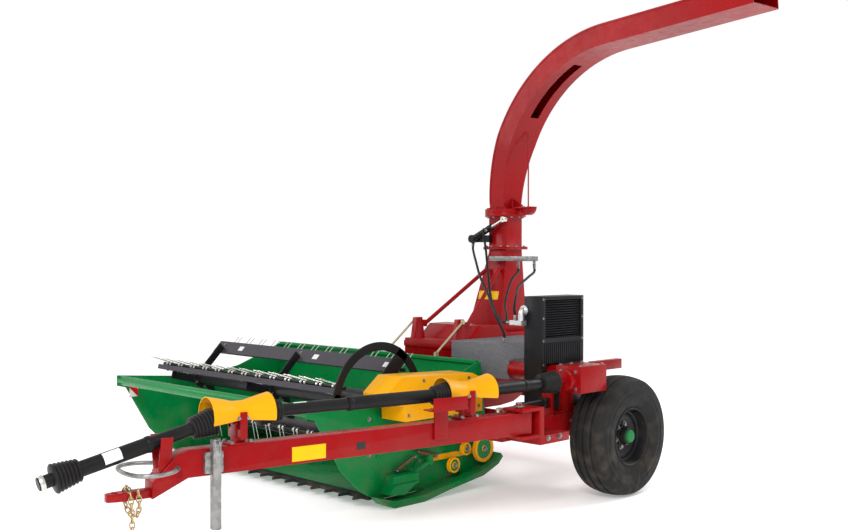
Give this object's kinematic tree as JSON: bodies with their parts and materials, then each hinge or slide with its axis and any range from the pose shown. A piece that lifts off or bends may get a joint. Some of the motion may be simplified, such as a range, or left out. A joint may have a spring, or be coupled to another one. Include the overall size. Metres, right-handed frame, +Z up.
{
  "type": "trailed forage harvester",
  "caption": "Trailed forage harvester with reel header, chopper, swinging drawbar with shaft line and parking jack, and a slewing discharge spout with end flap.",
  "frame": {"origin": "on the ground under the middle of the bounding box", "axes": "+Z up, -Y is the driving direction, +X is the machine's left side"},
  "size_m": [4.7476, 4.9732, 3.5707],
  "materials": {
    "red_paint": "gloss red enamel with light scuffs at edges",
    "green_paint": "gloss green enamel",
    "yellow_guard": "yellow enamel",
    "black_paint": "satin black enamel",
    "board_paint": "satin dark grey enamel",
    "black_plastic": "moulded black plastic",
    "cylinder_paint": "black enamel",
    "grey_cover": "rough grey anti-slip coating",
    "rod_paint": "pale zinc-yellow plated rod",
    "zinc_steel": "zinc plated, slightly dull",
    "tyre_rubber": "ribbed implement tyre",
    "hose_rubber": "satin black rubber"
  },
  "bodies": {
    "chassis": {"axle": "red_paint", "chopper_housing": "red_paint", "cooler_elbow": "zinc_steel", "discharge_duct": "red_paint", "drive_cover": "grey_cover", "duct_neck": "red_paint", "duct_strut_left": "red_paint", "duct_strut_right": "red_paint", "feed_housing": "red_paint", "hose_cylinder_base": "hose_rubber", "hose_cylinder_rod": "hose_rubber", "hose_valve_far": "hose_rubber", "hose_valve_near": "hose_rubber", "input_gearbox": "red_paint", "main_frame": "red_paint", "oil_cooler": "black_paint", "pin_bracket": "red_paint", "slew_cylinder": "cylinder_paint", "swing_cylinder": "cylinder_paint", "valve_block": "zinc_steel"},
    "wheel_left": {"tyre_left": "tyre_rubber", "wheel_rim_left": "black_paint"},
    "wheel_right": {"tyre_right": "tyre_rubber", "wheel_rim_right": "black_paint"},
    "drawbar": {"bearing_stand_front": "red_paint", "bearing_stand_rear": "red_paint", "cone_guard_front": "yellow_guard", "cone_guard_rear": "yellow_guard", "drawbar": "red_paint", "hitch_hoop": "zinc_steel", "hitch_tongue": "red_paint", "hose_shelf": "red_paint", "jack_tube": "zinc_steel", "pto_shaft_front": "black_plastic", "pto_shaft_middle": "black_plastic", "shaft_cradle": "red_paint"},
    "jack_leg": {"jack_leg": "zinc_steel"},
    "rear_shaft": {"pto_shaft_rear": "black_plastic"},
    "header": {"balance_rod_left": "rod_paint", "balance_rod_right": "rod_paint", "belt_guard": "yellow_guard", "belt_pulleys": "yellow_guard", "cutter_bar": "black_paint", "feed_throat": "green_paint", "header_trough": "green_paint", "knife_drive": "green_paint", "push_rail": "green_paint", "side_sheet_left": "green_paint", "side_sheet_right": "green_paint", "skid_left": "green_paint", "skid_right": "green_paint"},
    "auger": {"feed_auger": "green_paint"},
    "reel": {"reel_bat_1": "board_paint", "reel_bat_2": "board_paint", "reel_bat_3": "board_paint", "reel_frame": "black_paint"},
    "spout": {"rod_bracket": "red_paint", "spout": "red_paint"},
    "flap": {"flap": "red_paint"}
  },
  "joints": [
    {"name": "wheel_left_roll", "type": "hinge", "parent": "chassis", "child": "wheel_left", "pos_m": [1.0242, 1.5666, 0.4225], "axis": [1, 0, 0], "continuous": true},
    {"name": "wheel_right_roll", "type": "hinge", "parent": "chassis", "child": "wheel_right", "pos_m": [-1.6758, 1.5666, 0.4225], "axis": [1, 0, 0], "continuous": true},
    {"name": "drawbar_swing", "type": "hinge", "parent": "chassis", "child": "drawbar", "pos_m": [1.0342, 0.4666, 0.63], "axis": [0, 0, 1], "range_deg": [-12, 22]},
    {"name": "rear_shaft_follow", "type": "hinge", "parent": "chassis", "child": "rear_shaft", "pos_m": [1.0042, 0.9266, 0.855], "axis": [0, 0, 1], "range_deg": [-6, 10]},
    {"name": "jack_slide", "type": "slide", "parent": "drawbar", "child": "jack_leg", "axis": [0, 0, 1], "range_m": [0, 0.27]},
    {"name": "header_lift", "type": "hinge", "parent": "chassis", "child": "header", "pos_m": [-0.3258, 1.3816, 0.62], "axis": [-1, 0, 0], "range_deg": [0, 15]},
    {"name": "auger_spin", "type": "hinge", "parent": "header", "child": "auger", "pos_m": [-0.3258, 0.8066, 0.3], "axis": [1, 0, 0], "continuous": true},
    {"name": "reel_spin", "type": "hinge", "parent": "header", "child": "reel", "pos_m": [-0.3258, 0.1666, 0.695], "axis": [1, 0, 0], "continuous": true},
    {"name": "spout_slew", "type": "hinge", "parent": "chassis", "child": "spout", "pos_m": [-0.5708, 2.1816, 2.06], "axis": [0, 0, 1], "range_deg": [-20, 110]},
    {"name": "flap_tilt", "type": "hinge", "parent": "spout", "child": "flap", "pos_m": [1.9345, 1.9624, 3.5472], "axis": [0.0872, 0.9962, 0], "range_deg": [0, 57]}
  ],
  "couplings": [
    {"joint": "rear_shaft_follow", "follows": "drawbar_swing", "ratio": 0.426}
  ]
}
